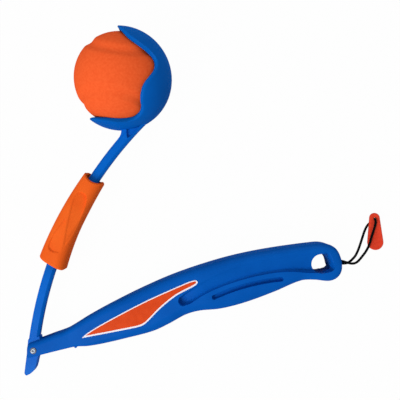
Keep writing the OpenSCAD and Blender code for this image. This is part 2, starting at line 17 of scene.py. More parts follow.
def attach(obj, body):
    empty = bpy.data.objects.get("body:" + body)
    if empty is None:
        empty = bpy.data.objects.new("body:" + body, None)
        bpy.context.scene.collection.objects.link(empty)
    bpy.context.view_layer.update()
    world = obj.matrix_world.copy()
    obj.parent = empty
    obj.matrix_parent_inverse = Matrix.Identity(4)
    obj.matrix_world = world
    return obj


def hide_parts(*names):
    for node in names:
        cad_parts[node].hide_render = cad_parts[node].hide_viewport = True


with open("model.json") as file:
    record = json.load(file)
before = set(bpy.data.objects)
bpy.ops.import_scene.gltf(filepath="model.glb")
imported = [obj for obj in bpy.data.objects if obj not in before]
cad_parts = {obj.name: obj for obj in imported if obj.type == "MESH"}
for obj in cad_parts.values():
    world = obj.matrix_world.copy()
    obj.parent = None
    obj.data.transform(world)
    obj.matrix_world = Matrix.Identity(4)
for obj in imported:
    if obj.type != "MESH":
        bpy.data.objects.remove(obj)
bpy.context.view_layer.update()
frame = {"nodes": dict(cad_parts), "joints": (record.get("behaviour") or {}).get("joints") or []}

print("nodes in the frame:", ", ".join(sorted(frame["nodes"])))

# %% [markdown]
# ## One launcher frame for all the pieces
# The launcher is easiest to describe flat: the hinge pin is the origin, X runs along the handle to the
# butt, Y points to the cup, and Z is the side that faces us. The hinge joint in the record tells where
# that flat drawing lies in the CAD frame and how far it leans, so nothing has to be fitted by eye.

# %% Launcher frame
hinge = next(j for j in frame["joints"] if j["name"] == "arm_fold")
PIN = Vector(hinge["pos_m"])
SIDE = Vector(hinge["axis"]).normalized()
ALONG = Vector((1, 0, 0))
TO_CUP = SIDE.cross(ALONG)
LAUNCHER = np.array([ALONG, TO_CUP, SIDE])


def lay(points):
    """Millimetres in the launcher's flat drawing to metres in the CAD frame."""
    return np.array(PIN) + np.asarray(points, float) / 1000 @ LAUNCHER


print("lean of the launcher:", round(math.degrees(math.asin(-SIDE.y)), 2), "degrees")

# %% [markdown]
# ## Camera
# The photograph looks square at the flat side of the launcher from about a third of a metre, so the lens
# is short and the grip's upper edge and the sleeve's mouth are seen a little from inside. The picture is
# turned against the handle, which is why the camera's right and up are slanted in the launcher's frame.

# %% Camera
PICTURE_TURN = math.radians(16.35)
VIEW_POINT = (137.5, 66.4, 346.5)
picture_right = math.cos(PICTURE_TURN) * ALONG - math.sin(PICTURE_TURN) * TO_CUP
picture_up = math.sin(PICTURE_TURN) * ALONG + math.cos(PICTURE_TURN) * TO_CUP
camera_data = bpy.data.cameras.new("photo_camera")
camera_data.lens = 45
camera_data.sensor_width = 36
camera_data.clip_start = 0.01
camera = bpy.data.objects.new("photo_camera", camera_data)
turn = Matrix((picture_right, picture_up, SIDE)).transposed().to_4x4()
camera.matrix_world = Matrix.Translation(Vector(lay([VIEW_POINT])[0])) @ turn
bpy.context.scene.collection.objects.link(camera)
bpy.context.scene.camera = camera
print("camera stands at", [round(v, 3) for v in camera.matrix_world.translation])

# %% [markdown]
# ## Finishes
# Every finish is built from nodes. Two noise sizes do most of the work: a broad one that shifts the colour
# and the gloss a little from place to place, and a fine one for the grain that you feel with a fingernail.
# The coordinates are the object's own metres, so a grain of half a millimetre stays half a millimetre. The
# plastics are satin: their shine is laid on as a thin weak coat, so that they don't turn pale seen on edge.

# %% Colour and node helpers


def paint(red, green, blue):
    """Screen colour, 0 to 255, to the linear values that shaders use."""
    return tuple(((c / 255 + 0.055) / 1.055) ** 2.4 if c > 10 else c / 255 / 12.92
                 for c in (red, green, blue)) + (1,)


def feed(tree, node, sockets):
    """Puts a number, a colour or another node's output into each of a node's named sockets."""
    for socket, value in sockets.items():
        if isinstance(value, bpy.types.NodeSocket):
            tree.links.new(value, node.inputs[socket])
        else:
            node.inputs[socket].default_value = value


def add_node(tree, kind, sockets):
    """A new node of that kind with its sockets fed."""
    node = tree.nodes.new(kind)
    feed(tree, node, sockets)
    return node


def maths(tree, operation, first, second):
    """The result of an operation on two values."""
    node = add_node(tree, "ShaderNodeMath", {0: first, 1: second})
    node.operation = operation
    return node.outputs[0]


def finish_base(name, roughness, shine=0.055):
    """A new material with its node tree and its shader, which shines by a weak coat alone."""
    material = bpy.data.materials.new(name)
    material.use_nodes = True
    tree = material.node_tree
    shader = tree.nodes["Principled BSDF"]
    feed(tree, shader, {"Roughness": roughness, "Specular IOR Level": 0, "Coat Weight": shine,
                        "Coat Roughness": roughness})
    return material, tree, shader


def noise(tree, scale, detail=2.0):
    """A noise of that many waves per metre of the object."""
    place = tree.nodes.new("ShaderNodeTexCoord").outputs["Object"]
    texture = add_node(tree, "ShaderNodeTexNoise", {"Vector": place, "Scale": scale, "Detail": detail})
    return texture.outputs["Fac"]


def ramp(tree, value, low, high, start=0.3, end=0.7):
    """Two colours or two grey levels, spread over a part of a noise's range."""
    band = add_node(tree, "ShaderNodeValToRGB", {"Fac": value})
    for stop, position, colour in zip(band.color_ramp.elements, (start, end), (low, high)):
        stop.position = position
        stop.color = colour if isinstance(colour, tuple) else (colour, colour, colour, 1)
    return band.outputs["Color"]


def bump(tree, height, strength, distance):
    """Grain on the surface: a height in the finish, seen only in how light falls on it."""
    sockets = {"Height": height, "Strength": strength, "Distance": distance}
    return add_node(tree, "ShaderNodeBump", sockets).outputs["Normal"]


def moulded_plastic(name, dark, light, roughness=0.42, grain=0.12, shine=0.055):
    """Satin moulded plastic: cloudy in colour and gloss, with a faint pebble from the mould."""
    material, tree, shader = finish_base(name, roughness, shine)
    feed(tree, shader, {
        "Base Color": ramp(tree, noise(tree, scale=45, detail=3), dark, light),
        "Roughness": ramp(tree, noise(tree, scale=160), roughness - 0.06, roughness + 0.08),
        "Normal": bump(tree, noise(tree, scale=2600, detail=1), grain, distance=0.00008)})
    return material


print("finish helpers ready")

# %% [markdown]
# ## Cord first
# The lanyard is one limp cord, doubled. It starts at a knot in the butt, leaves through a small hole,
# drops to the floor, passes up through the pull tab and comes back beside itself. The points are the
# ones that the CAD cord follows, and a smooth curve runs through them.

# %% Route of the lanyard
CORD_D = 1.7
CORD_GAP = 0.1
STRAND = CORD_D / 2 + CORD_GAP
CORD_Y = -2.2
HANDLE_LEN = 218.3
KNOT_BACK = 4.6
exit_point = lay([(HANDLE_LEN, CORD_Y, 0)])[0] * 1000
pair = [(-KNOT_BACK, -STRAND, 0), (0, -STRAND, 0), (2.7, -1.7, -1.3), (5.5, -2.1, -2.5), (8, -1.7, -4.2)]
strand_under = [(10.8, -1, 4.6), (14.5, 0.8, 2), (18, 4.2, 1), (22, 9.5, 0.9), (26, 15, 0.9), (29, 18.2, 0.9),
                (31.8, 19.9, 1), (33.8, 21.1, 1.9)]
tab_hole = (34.7, 21.7, 4.4)
strand_over = [(34.3, 20.8, 6.8), (33.4, 18.6, 7.7), (31.6, 15.2, 6.6), (28.8, 10.7, 5.3), (25.2, 5.2, 4.5),
               (22.3, 1.5, 2.4), (18.5, -1.5, 1.5), (14.5, -3.6, 3), (11, -4, 6.2)]
pair_back = [(8, -3.3, -2.4), (5.5, -2.1, -0.5), (2.7, -0.3, 0.1), (0, STRAND, 0), (-KNOT_BACK, STRAND, 0)]


def over_floor(point):
    """A cord point, given along the floor from the exit and up from the floor."""
    return (exit_point[0] + point[0], exit_point[1] + point[1], point[2])


route = [tuple(exit_point + np.array(p)) for p in pair]
route += [over_floor(p) for p in strand_under + [tab_hole] + strand_over]
route += [tuple(exit_point + np.array(p)) for p in pair_back]


def smooth_line(points, steps):
    """A curve through every point, with steps places on each stretch."""
    p = np.asarray(points, float)
    out = []
    for i in range(len(p) - 1):
        a, b, c, d = p[max(i - 1, 0)], p[i], p[i + 1], p[min(i + 2, len(p) - 1)]
        for t in np.arange(steps) / steps:
            out.append(0.5 * (2 * b + (c - a) * t + (2 * a - 5 * b + 4 * c - d) * t ** 2
                              + (3 * b - a - 3 * c + d) * t ** 3))
    return np.array(out + [p[-1]])


cord_line = smooth_line(route, 6) / 1000

# %% [markdown]
# The cord is a tube of rings, each turned only as much as the curve turns, so that the braid doesn't twist.
# Its UV map runs along the cord and round it, which lets slanted threads wind the right way.

# %% Tube helper


def to_object(name, vertices, faces, materials, smooth_angle=38):
    """A mesh piece at the origin, with soft shading except over sharp edges."""
    mesh = bpy.data.meshes.new(name)
    mesh.from_pydata([tuple(v) for v in vertices], [], [tuple(f) for f in faces])
    mesh.validate()
    for material in materials:
        mesh.materials.append(material)
    soften(mesh, smooth_angle)
    piece = bpy.data.objects.new(name, mesh)
    bpy.context.scene.collection.objects.link(piece)
    return piece


def soften(mesh, smooth_angle):
    """Smooth shading, broken only where two faces meet at more than that angle."""
    mesh.polygons.foreach_set("use_smooth", [True] * len(mesh.polygons))
    mesh.set_sharp_from_angle(angle=math.radians(smooth_angle))
    mesh.update()


def ring_piece(name, rings, material, smooth_angle=38, closed=False, turned=False):
    """A piece over a stack of rings; a closed stack joins its two ends, and an open one gets two caps."""
    count, around, faces = len(rings), len(rings[0]), []
    for j in range(count if closed else count - 1):
        here, above = j * around, (j + 1) % count * around
        for i in range(around):
            beside = (i + 1) % around
            faces.append((here + i, here + beside, above + beside, above + i))
    if not closed:
        faces += [tuple(range(around))[::-1], tuple(range((count - 1) * around, count * around))]
    if turned:
        faces = [face[:1] + face[:0:-1] for face in faces]
    return to_object(name, np.concatenate(rings), faces, [material], smooth_angle)


def tube(name, line, radius, sides, material):
    """A round tube along a line in metres, with UVs along and round it."""
    way = np.gradient(line, axis=0)
    way /= np.linalg.norm(way, axis=1)[:, None]
    side = np.cross(way[0], (0, 0, 1))
    rings = []
    for point, ahead in zip(line, way):
        side = side - side.dot(ahead) * ahead
        side /= np.linalg.norm(side)
        up = np.cross(ahead, side)
        angles = np.arange(sides) * 2 * math.pi / sides
        rings.append(point + radius * (np.cos(angles)[:, None] * side + np.sin(angles)[:, None] * up))
    piece = ring_piece(name, rings, material)
    run = np.concatenate([[0], np.cumsum(np.linalg.norm(np.diff(line, axis=0), axis=1))])
    layer = piece.data.uv_layers.new(name="along")
    for polygon in piece.data.polygons:
        places = [v % sides for v in polygon.vertices]
        first = sides if max(places) - min(places) > 1 else 0
        for loop, vertex, place in zip(polygon.loop_indices, polygon.vertices, places):
            layer.data[loop].uv = (run[vertex // sides] * 1000, (place or first) / sides)
    return piece


print("the cord's curve has", len(cord_line), "places for rings")

# %% [markdown]
# A braid is two sets of threads that wind opposite ways and pass over and under each other. Two wave
# patterns, slanted left and right along the UVs with the higher one kept, give a tight braid's diamonds.

# %% Braided cord


def braided_cord():
    """Black braid: slanted threads along the UVs, the higher set on top, with painted shade in the gaps."""
    material, tree, shader = finish_base("braided_cord_black", roughness=0.78, shine=0.02)
    uv = tree.nodes.new("ShaderNodeUVMap")
    uv.uv_map = "along"
    threads = []
    for slant in (1, -1):
        sockets = {"Vector": uv.outputs["UV"], "Scale": (0.9, 4 * slant, 1)}
        turned = add_node(tree, "ShaderNodeMapping", sockets).outputs["Vector"]
        wave = add_node(tree, "ShaderNodeTexWave", {"Vector": turned, "Scale": 0.5})
        wave.bands_direction = "DIAGONAL"
        threads.append(wave.outputs["Fac"])
    weave_and_gap_shade = maths(tree, "MAXIMUM", *threads)
    # The colour follows the weave height: darker in the gaps between threads as painted shade, lighter on the
    # crests as a painted highlight.
    feed(tree, shader, {
        "Base Color": ramp(tree, weave_and_gap_shade, paint(3, 3, 4), paint(15, 15, 16), start=0.2, end=0.9),
        "Sheen Weight": 0.03,
        "Normal": bump(tree, weave_and_gap_shade, strength=0.6, distance=0.0001)})
    return material


cord_finish = braided_cord()
lanyard = tube("lanyard_braid", cord_line, CORD_D / 2000, 12, cord_finish)
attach(lanyard, "grip")
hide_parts("lanyard_cord")
print("cord tube:", len(lanyard.data.polygons), "faces")

# %% [markdown]
# ## Pull tab
# The tab is a drop of soft red rubber with the cord through its small end. It is drawn as rings that step
# in towards the top and the bottom, so its edge is round all the way, and a low bead runs round the rim
# where the mould closes. The hole is left open between the outer rings and the inner ones.

# %% Rubber finishes


def soft_rubber(name, dark, light, roughness, pebble_scale, pebble, depth, mask=None):
    """Matte rubber, mottled, with small pebbles from the mould; a mesh value can leave the pebbles out."""
    material, tree, shader = finish_base(name, roughness)
    pebbles = noise(tree, pebble_scale, detail=3)
    if mask:
        where = tree.nodes.new("ShaderNodeAttribute")
        where.attribute_name = mask
        pebbles = maths(tree, "MULTIPLY", pebbles, where.outputs["Fac"])
    mottled = noise(tree, pebble_scale * 0.35, detail=4)
    feed(tree, shader, {
        "Base Color": ramp(tree, mottled, dark, light, start=0.32, end=0.68),
        "Roughness": ramp(tree, noise(tree, scale=90), roughness - 0.08, roughness + 0.1),
        "Normal": bump(tree, pebbles, pebble, depth)})
    return material


tab_finish = soft_rubber("tab_rubber_red", paint(222, 62, 40), paint(232, 72, 46), roughness=0.5,
                         pebble_scale=1500, pebble=0.12, depth=0.0001)
print("rubber for the tab:", tab_finish.name)

# %% Pull tab
TAB_T, TAB_LEN, TAB_W, TAB_RING = 2.6, 26.5, 11.2, 72
TAB_SMALL_R, TAB_HOLE_BACK, TAB_TURN, TAB_ROOM = 3.6, 0.7, -104, 0.15
TAB_HOLE_R = CORD_D / 2 + TAB_ROOM
tab_reach = TAB_LEN - TAB_SMALL_R - TAB_HOLE_BACK
tab_tilt = math.asin((tab_hole[2] - TAB_T / 2) / tab_reach)


def drop_outline(grow):
    """The tab's outline from above, moved in or out: a small and a wide round end, and their tangents."""
    small, wide = TAB_SMALL_R + grow, TAB_W / 2 + grow
    x_small, x_wide = -TAB_HOLE_BACK, tab_reach - TAB_W / 2
    slant = math.acos((small - wide) / (x_wide - x_small))
    outline = []
    ends = ((x_wide, wide, -slant, slant), (x_small, small, slant, 2 * math.pi - slant))
    for x, radius, start, end in ends:
        for a in np.linspace(start, end, TAB_RING // 2):
            outline.append((x + radius * math.cos(a), radius * math.sin(a)))
    return np.array(outline)


def ring_of(outline, height):
    """A flat outline lifted to a height."""
    return np.column_stack([outline, np.full(len(outline), height)])


TAB_ROUND, BEAD_OUT, BEAD_IN, BEAD_STEP, TAB_SINK, HOLE_FLARE, HOLE_EDGE = 0.9, 1.5, 1.9, 0.05, 0.3, 0.35, 0.6
edge = []
for a in np.linspace(-math.pi / 2, math.pi / 2, 9):
    height = (TAB_T / 2 - TAB_ROUND) * np.sign(math.sin(a)) + TAB_ROUND * math.sin(a)
    edge.append(ring_of(drop_outline(TAB_ROUND * math.cos(a) - TAB_ROUND), height))
hole_angle = np.array([math.atan2(p[1], p[0]) for p in drop_outline(0)])
hole_dir = np.column_stack([np.cos(hole_angle), np.sin(hole_angle)])
rim_to_hole = [(drop_outline(-BEAD_OUT), TAB_T / 2 - BEAD_STEP),
               (drop_outline(-BEAD_IN), TAB_T / 2 - TAB_SINK),
               (hole_dir * (TAB_HOLE_R + HOLE_FLARE), TAB_T / 2 - TAB_SINK),
               (hole_dir * TAB_HOLE_R, TAB_T / 2 - HOLE_EDGE)]
tab_rings = edge + [ring_of(*step) for step in rim_to_hole]
tab_rings += [ring_of(outline, -height) for outline, height in rim_to_hole[::-1]]
tilt = np.array(Matrix.Rotation(math.radians(TAB_TURN), 3, "Z") @ Matrix.Rotation(tab_tilt, 3, "Y"))
tab_rings = (np.array(tab_rings) @ tilt.T + np.array(over_floor(tab_hole))) / 1000
tab = ring_piece("pull_tab_drop", tab_rings, tab_finish, smooth_angle=50, closed=True)
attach(tab, "grip")
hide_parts("pull_tab")
print("tab tilts", round(math.degrees(tab_tilt), 1), "degrees up to the cord's loop")

# %% [markdown]
# The knot sits in a pocket behind the cord's hole, where only a look into the hang hole finds it. It is a
# short tube that winds round twice and weaves over itself, like a real stopper knot pulled tight.

# %% Stopper knot
KNOT_T, KNOT_R, KNOT_PINCH, KNOT_WEAVE = 2.4, 2.7, 0.55, 0.33
knot_turns = np.linspace(0, 2 * math.pi, 97)
knot_swing = KNOT_R - CORD_D / 2 - KNOT_PINCH * (1 + np.cos(1.5 * knot_turns)) / 2
knot_along = HANDLE_LEN - KNOT_BACK - KNOT_T / 2 + KNOT_WEAVE * np.sin(3 * knot_turns)
knot_line = np.column_stack([knot_along, CORD_Y + knot_swing * np.cos(2 * knot_turns),
                             knot_swing * np.sin(2 * knot_turns)])
knot = tube("lanyard_stopper_knot", lay(knot_line), CORD_D / 2000, 10, cord_finish)
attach(knot, "grip")
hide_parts("lanyard_knot")
print("knot:", len(knot.data.polygons), "faces")

# %% [markdown]
# ## Ball
# The ball is grained orange rubber with two broad moulded grooves that run round it. The grooves break its
# outline at the upper and lower left, and inside them the rubber is smooth. A fine sphere is pressed in along
# two circles, and each point also keeps how much of the sandy grain it gets.

# %% Ball
BALL_R, BALL_ROOM, CUP_WALL, CUP_SINK = 31.75, 0.35, 3.2, 1
CUP_IN_R = BALL_R + BALL_ROOM
CUP_OUT_R = CUP_IN_R + CUP_WALL
ARM_BOW_R, ARM_LEN, ARM_W, ARM_T, ARM_OFFSET, REST_ANGLE = 265, 186.5, 7, 6.4, 2, 67.3
ARM_TURN = math.radians(REST_ANGLE - 90)
arm_cos, arm_sin = math.cos(ARM_TURN), math.sin(ARM_TURN)


def on_arm(distance, out, up):
    """A place by its distance along the arm's bow, its reach outside the middle line, and its height."""
    turned = np.asarray(distance, float) / ARM_BOW_R
    x = ARM_BOW_R - ARM_OFFSET - (ARM_BOW_R + out) * np.cos(turned)
    y = (ARM_BOW_R + out) * np.sin(turned)
    return np.column_stack([arm_cos * x - arm_sin * y, arm_sin * x + arm_cos * y, up])


CUP_AT = on_arm([ARM_LEN], np.array([CUP_OUT_R - ARM_W / 2 - CUP_SINK]), [0])[0, :2]
ball_mesh = bmesh.new()
bmesh.ops.create_icosphere(ball_mesh, subdivisions=6, radius=1)
rays = np.array([v.co for v in ball_mesh.verts])
ball_faces = [[v.index for v in f.verts] for f in ball_mesh.faces]
ball_mesh.free()
GROOVE_WIDE, GROOVE_DEEP, GROOVE_FULL, GRAIN_FADE = 5.0, 1.15, 0.8, 1.6
grooves = [((0.377, 0.842, 0.386), 44.1), ((-0.394, -0.879, 0.266), 47.9)]
ball_radius, grain = np.full(len(rays), BALL_R), np.ones(len(rays))
for pole, angle in grooves:
    pole = np.array(pole) / np.linalg.norm(pole)
    away = BALL_R * np.abs(np.arccos(np.clip(rays @ pole, -1, 1)) - math.radians(angle))
    pressed = 0.5 + 0.5 * np.cos(math.pi * np.minimum(away / GROOVE_WIDE, 1))
    ball_radius -= GROOVE_DEEP * pressed ** GROOVE_FULL
    grain -= np.minimum(1, GRAIN_FADE * pressed)
ball_points = lay(rays * ball_radius[:, None] + np.array([*CUP_AT, 0]))
ball_finish = soft_rubber("ball_rubber_orange", paint(244, 92, 42), paint(250, 103, 50), roughness=0.7,
                          pebble_scale=1900, pebble=0.42, depth=0.00022, mask="grain")
ball = to_object("ball_grooved", ball_points, ball_faces, [ball_finish], smooth_angle=80)
ball.data.attributes.new("grain", "FLOAT", "POINT").data.foreach_set("value", np.clip(grain, 0, 1))
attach(ball, "ball")
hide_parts("ball")
print("ball:", len(ball_faces), "faces")

# %% [markdown]
# ## Cup
# The cup is a thin shell round the ball with a long hood above and a shorter lip below, and the rim swings
# between them in an S on each side. The rim is a list of directions: how far round the mouth, and how far
# from the back of the cup. Rows of points run from the back out to the rim, over its rounded edge, and back
# along the inside. Past the widest place the inside is a cylinder, so the ball can leave.

# %% Cup
CUP_TURN, CUP_ROWS, CUP_START, CUP_SPREAD = 119, 26, 0.02, 0.8
back_turn = math.radians(90 + CUP_TURN + 180) - ARM_LEN / ARM_BOW_R + ARM_TURN
rim = [(0, 110), (12, 109.2), (22, 106.8), (31, 102.5), (39, 96), (44.6, 90.5), (47.8, 84.5), (49.6, 78.5),
       (50.4, 72), (50.7, 66), (50.9, 61.5), (51.3, 57.5), (52.4, 53.6), (54.9, 49.6), (59, 47.2), (64, 45.9),
       (69.5, 45.4), (76, 46.2), (83, 48.1), (89, 49.9), (94.5, 51.5), (101, 52.5), (109, 52.5), (117, 51.6),
       (124, 50), (131, 48.4), (137.5, 48.4), (143.5, 50.1), (148.4, 53.3), (151.5, 57.2), (153.1, 62),
       (153.8, 68), (154.2, 75), (154.8, 82), (156.3, 89), (159.2, 95.8), (164.2, 103), (171, 108),
       (180, 110)]
rim_half = smooth_line(rim, 5)
rim_line = np.radians(np.concatenate([rim_half, [(-t, a) for t, a in rim_half[-2:0:-1]]]))


def cup_point(round_mouth, from_back, radius):
    """Places on the cup by their turn round the mouth, their angle from its back, and their radius."""
    flat = np.column_stack([np.cos(from_back), np.sin(from_back) * np.cos(round_mouth)])
    spin = np.array([[math.cos(back_turn), math.sin(back_turn)], [-math.sin(back_turn), math.cos(back_turn)]])
    flat = (flat * radius[:, None]) @ spin + CUP_AT
    return np.column_stack([flat, radius * np.sin(from_back) * np.sin(round_mouth)])


def inside_radius(from_back):
    """Reach of the cup's inside: round behind the widest place, and a cylinder past it."""
    return np.where(from_back > math.pi / 2, (CUP_IN_R + BALL_ROOM / 2) / np.sin(from_back), CUP_IN_R)


round_mouth, rim_angle = rim_line[:, 0], rim_line[:, 1]
wall = CUP_OUT_R - inside_radius(rim_angle)
cup_rows = []
for share in np.linspace(CUP_START, 1, CUP_ROWS) ** CUP_SPREAD:
    cup_rows.append((rim_angle - wall / 2 / CUP_OUT_R) * share)
cup_rings = [cup_point(round_mouth, row, np.full(len(row), CUP_OUT_R)) for row in cup_rows]
for swing in np.linspace(0, math.pi, 7)[1:-1]:
    radius = CUP_OUT_R - wall / 2 + wall / 2 * math.cos(swing)
    cup_rings.append(cup_point(round_mouth, rim_angle - wall / 2 / CUP_OUT_R * (1 - math.sin(swing)), radius))
cup_rings += [cup_point(round_mouth, row, inside_radius(row)) for row in cup_rows[::-1]]
cup_finish = moulded_plastic("cup_plastic_blue", paint(2, 91, 182), paint(4, 99, 194), roughness=0.4)
cup = ring_piece("cup_shell", lay(cup_rings), cup_finish, smooth_angle=60, turned=True)
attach(cup, "arm")
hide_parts("ball_cup")
print("cup rim:", len(round_mouth), "places round the mouth")

# %% [markdown]
# ## Lock sleeve
# The orange sleeve slides on the arm and locks the launcher open. On each flat side two leaf shapes are
# pressed in for the thumb: they share a slanting ridge, and each falls away from it to its own outer edge,
# where the surface steps back up. The skin is a bowed stack of rounded rectangles pushed in by the leaves,
# and the bore with its guide collar is a second, inner stack, so the ends are open as on the real tube.

# %% Sleeve shape
SLEEVE_START, SLEEVE_LEN, SLEEVE_T, SLEEVE_ROUND, SLEEVE_SLANT = 60, 66.5, 20, 6, 0.045
# Share of the length, reach outside and inside the arm's bow, share of the thickness
sleeve_shape = [(0, 9.1, 9.4, 1), (0.15, 8.9, 8.8, 1), (0.4, 8.5, 8.1, 0.97), (0.7, 7.9, 7.8, 0.94),
                (1, 7.2, 7.1, 0.905)]
END_ROUND, SCOOP_R, FRONT_SCOOP, BACK_SCOOP, SCOOP_FROM = 1.6, 9, 3.2, 1.7, 0.88
CORNER_POINTS, FLAT_POINTS, EDGE_POINTS, HAIR = 22, 10, 8, 0.01


def through(table, x, column=1):
    """A soft curve through one column of a table over its first, the same one that the CAD model uses."""
    at, value = np.array(table, float)[:, [0, column]].T
    row, last = np.arange(len(at)), len(at) - 1
    after, before = np.minimum(row + 1, last), np.maximum(row - 1, 0)
    slopes = (value[after] - value[before]) / (at[after] - at[before])
    i = np.clip(np.searchsorted(at, x, side="right") - 1, 0, last - 1)
    h = at[i + 1] - at[i]
    t = (x - at[i]) / h
    return (value[i] * (2 * t ** 3 - 3 * t ** 2 + 1) + slopes[i] * h * (t ** 3 - 2 * t ** 2 + t)
            + value[i + 1] * (3 * t ** 2 - 2 * t ** 3) + slopes[i + 1] * h * (t ** 3 - t ** 2))


def soft_box(low, high, half, radius):
    """A rectangle with round corners as [across, up] points."""
    radius = min(radius, half - HAIR, (high - low) / 2 - HAIR)
    middle, reach, rise = (high + low) / 2, (high - low) / 2 - radius, half - radius
    points = []
    stretches = ((1, 1, 0, (-2 * reach, 0), FLAT_POINTS), (-1, 1, 90, (0, -2 * rise), EDGE_POINTS),
                 (-1, -1, 180, (2 * reach, 0), FLAT_POINTS), (1, -1, 270, (0, 2 * rise), EDGE_POINTS))
    for sx, sy, start, step, count in stretches:
        for a in np.radians(start + np.linspace(0, 90, CORNER_POINTS)):
            points.append((middle + sx * reach + radius * math.cos(a), sy * rise + radius * math.sin(a)))
        last = np.array(points[-1])
        points += [tuple(last + np.array(step) * share) for share in np.arange(1, count) / count]
    return np.array(points)


def inside_depth(p, outline):
    """How far inside a closed outline each point is; below zero outside it."""
    nearest, inside = np.full(len(p), np.inf), np.zeros(len(p), bool)
    for a, b in zip(outline, np.roll(outline, -1, axis=0)):
        ab = b - a
        t = np.clip(((p - a) @ ab) / (ab @ ab), 0, 1)
        nearest = np.minimum(nearest, np.linalg.norm(p - a - t[:, None] * ab, axis=1))
        crosses = (a[1] > p[:, 1]) != (b[1] > p[:, 1])
        with np.errstate(divide="ignore", invalid="ignore"):
            inside ^= crosses & (p[:, 0] < a[0] + (p[:, 1] - a[1]) * ab[0] / ab[1])
    return np.where(inside, nearest, -nearest)


def ease(x):
    """Zero below 0, one above 1, and a soft rise between."""
    x = np.clip(x, 0, 1)
    return x * x * (3 - 2 * x)


def closed_line(points):
    """A curve through every point and back to the first, where it has a corner."""
    return smooth_line(points + points[:1], 6)[:-1]


ridge_start, ridge_end = (72, -4.8), (106, 4)
upper_leaf = closed_line([
    (73.5, -4.9), (83, -6.9), (93, -7.2), (103, -6.4), (110, -5.1), (113, -3.4), (114.2, -0.6), (113.4, 2.4),
    (111, 3.9), (107, 3.8), (95, 0.7), (84, -2.15)])
lower_leaf = closed_line([
    (94, 1.4), (90, 3.1), (81, 5), (73.5, 5.4), (70.2, 4.2), (69, 1), (69.6, -2.4), (71.5, -4.2), (84, -1.2)])
LEAF_EDGE, LEAF_DEEP, LEAF_STEP, UPPER_FALL, LOWER_FALL = 0.9, 0.35, 0.45, 0.26, 0.1


def press_leaves(distance, across, up, half):
    """Lowers a place on the sleeve's side to the floor of its leaf, which falls away from the ridge."""
    places = np.column_stack([distance, across])
    slope = (ridge_end[1] - ridge_start[1]) / (ridge_end[0] - ridge_start[0])
    ridge = ridge_start[1] + slope * (distance - ridge_start[0])
    floor = half - LEAF_DEEP - np.where(across < ridge, UPPER_FALL, LOWER_FALL) * np.abs(across - ridge)
    inside = np.maximum(inside_depth(places, upper_leaf), inside_depth(places, lower_leaf))
    return up - np.sign(up) * ease(inside / LEAF_EDGE) * np.maximum(np.abs(up) - floor, LEAF_STEP)


print("leaves have", len(upper_leaf), "and", len(lower_leaf), "points")

# %% Sleeve skin and bore
end_steps = END_ROUND / SLEEVE_LEN * (1 - np.cos(np.linspace(0, math.pi / 2, 6)))
middle_steps = np.linspace(end_steps[-1], 1 - end_steps[-1], 150)[1:-1]
sleeve_steps = np.concatenate([end_steps, middle_steps, 1 - end_steps[::-1]])


def along_sleeve(share, across, up):
    """Distance from the hinge: the lower end is cut on a slant and the upper end is scooped out."""
    slant = math.radians(SLEEVE_SLANT) * ARM_BOW_R * across * (1 - share)
    deep = np.where(up > 0, FRONT_SCOOP, BACK_SCOOP)
    scoop = np.maximum(0, deep - SCOOP_R + np.sqrt(np.maximum(0, SCOOP_R ** 2 - across ** 2)))
    return SLEEVE_START + SLEEVE_LEN * share + slant - scoop * ease((share - SCOOP_FROM) / (1 - SCOOP_FROM))


sleeve_rings = []
for k in sleeve_steps:
    near_end = min(k, 1 - k) * SLEEVE_LEN
    tuck = END_ROUND - math.sqrt(max(0, END_ROUND ** 2 - max(0, END_ROUND - near_end) ** 2))
    out, inn = (through(sleeve_shape, k, column) - tuck for column in (1, 2))
    half = SLEEVE_T / 2 * through(sleeve_shape, k, column=3)
    box = soft_box(-inn, out, half - tuck, SLEEVE_ROUND - tuck / 2)
    distance = along_sleeve(k, box[:, 0], box[:, 1])
    box[:, 1] = press_leaves(distance, box[:, 0], box[:, 1], half)
    sleeve_rings.append(on_arm(distance, box[:, 0], box[:, 1]))
GUIDE_ROOM, GUIDE_TOP, GUIDE_LOW, GUIDE_ROUND, BORE_ROUND = 0.3, 0.78, 0.66, 0.5, 3
guide = (ARM_W / 2 + GUIDE_ROOM, ARM_W / 2 + GUIDE_ROOM, ARM_T / 2 + GUIDE_ROOM)
upper_bore, lower_bore, BORE_ROWS = (5.2, 5.2, 6.6), (6.9, 5.2, 7.2), 40
bore_steps = np.array([(1, *upper_bore), (GUIDE_TOP, *upper_bore), (GUIDE_TOP, *guide), (GUIDE_LOW, *guide),
                       (GUIDE_LOW, *lower_bore), (0, *lower_bore)])
fine_bore = []
for start, end in zip(bore_steps[:-1], bore_steps[1:]):
    count = max(1, int(abs(end[0] - start[0]) * BORE_ROWS))
    fine_bore += [start + (end - start) * t for t in np.arange(count) / count]
fine_bore.append(bore_steps[-1])
for k, inn, out, half in fine_bore:
    box = soft_box(-inn, out, half, GUIDE_ROUND if half < ARM_T else BORE_ROUND)
    distance = along_sleeve(k, box[:, 0], box[:, 1])
    sleeve_rings.append(on_arm(distance, box[:, 0], box[:, 1]))
sleeve_finish = moulded_plastic("sleeve_plastic_orange", paint(236, 94, 30), paint(246, 106, 36),
                                roughness=0.45, grain=0.2)
sleeve = ring_piece("sleeve_shell", lay(sleeve_rings), sleeve_finish, smooth_angle=42, closed=True)
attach(sleeve, "sleeve")
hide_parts("lock_sleeve")
print("sleeve:", len(sleeve.data.polygons), "faces,", len(sleeve_rings[0]), "places round it")

# %% [markdown]
# ## Handle
# The grip is one moulding: a slotted nose for the hinge, a swelling body with flat sides for the labels, a
# long swept recess that runs from a deep round start to the hang hole, a finger groove, and a round butt.
# Each cross-section is a rounded rectangle. Going round it, rows of points follow the edges of the recess
# and of the groove exactly, so that those edges are crisp, and the rest is spread evenly between them.

